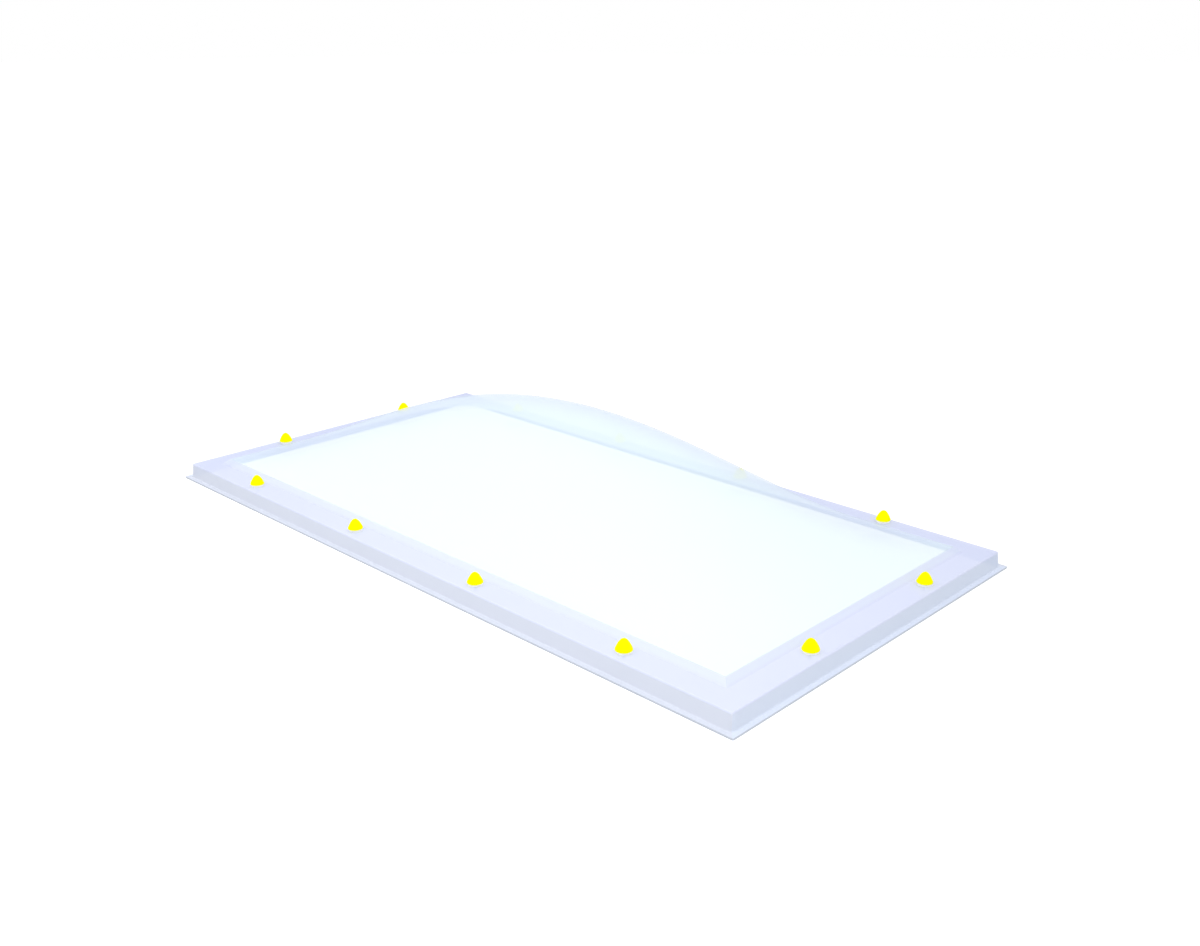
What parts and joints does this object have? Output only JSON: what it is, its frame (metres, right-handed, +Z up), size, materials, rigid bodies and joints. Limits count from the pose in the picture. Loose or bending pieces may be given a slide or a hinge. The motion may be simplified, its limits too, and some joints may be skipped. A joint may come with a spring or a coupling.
{
  "type": "roof skylight",
  "caption": "Translucent acrylic roof skylight dome with a flat rim, a leaning skirt, a turned-out lip and yellow caps over its fixing screws.",
  "frame": {"origin": "middle of the underside of the lip, in the plane that the part stands on", "axes": "+X along the long side, +Y along the short side, +Z up out of the roof"},
  "size_m": [1.487, 0.787, 0.227],
  "materials": {
    "acrylic_sheet": "translucent formed acrylic sheet with a faint blue tint, glossy",
    "seat_plastic": "translucent moulded plastic, glossy",
    "yellow_cap": "bright yellow moulded plastic, half gloss",
    "sealing_ring": "soft pale sealing ring, matt",
    "screw_steel": "stainless steel, satin"
  },
  "bodies": {
    "root": {"dome_shell": "acrylic_sheet", "cap_seat_01": "seat_plastic", "cap_seat_02": "seat_plastic", "cap_seat_03": "seat_plastic", "cap_seat_04": "seat_plastic", "cap_seat_05": "seat_plastic", "cap_seat_06": "seat_plastic", "cap_seat_07": "seat_plastic", "cap_seat_08": "seat_plastic", "cap_seat_09": "seat_plastic", "cap_seat_10": "seat_plastic", "cap_seat_11": "seat_plastic", "cap_seat_12": "seat_plastic", "screw_cap_01": "yellow_cap", "screw_cap_02": "yellow_cap", "screw_cap_03": "yellow_cap", "screw_cap_04": "yellow_cap", "screw_cap_05": "yellow_cap", "screw_cap_06": "yellow_cap", "screw_cap_07": "yellow_cap", "screw_cap_08": "yellow_cap", "screw_cap_09": "yellow_cap", "screw_cap_10": "yellow_cap", "screw_cap_11": "yellow_cap", "screw_cap_12": "yellow_cap", "sealing_rings": "sealing_ring", "screws": "screw_steel"}
  },
  "joints": []
}
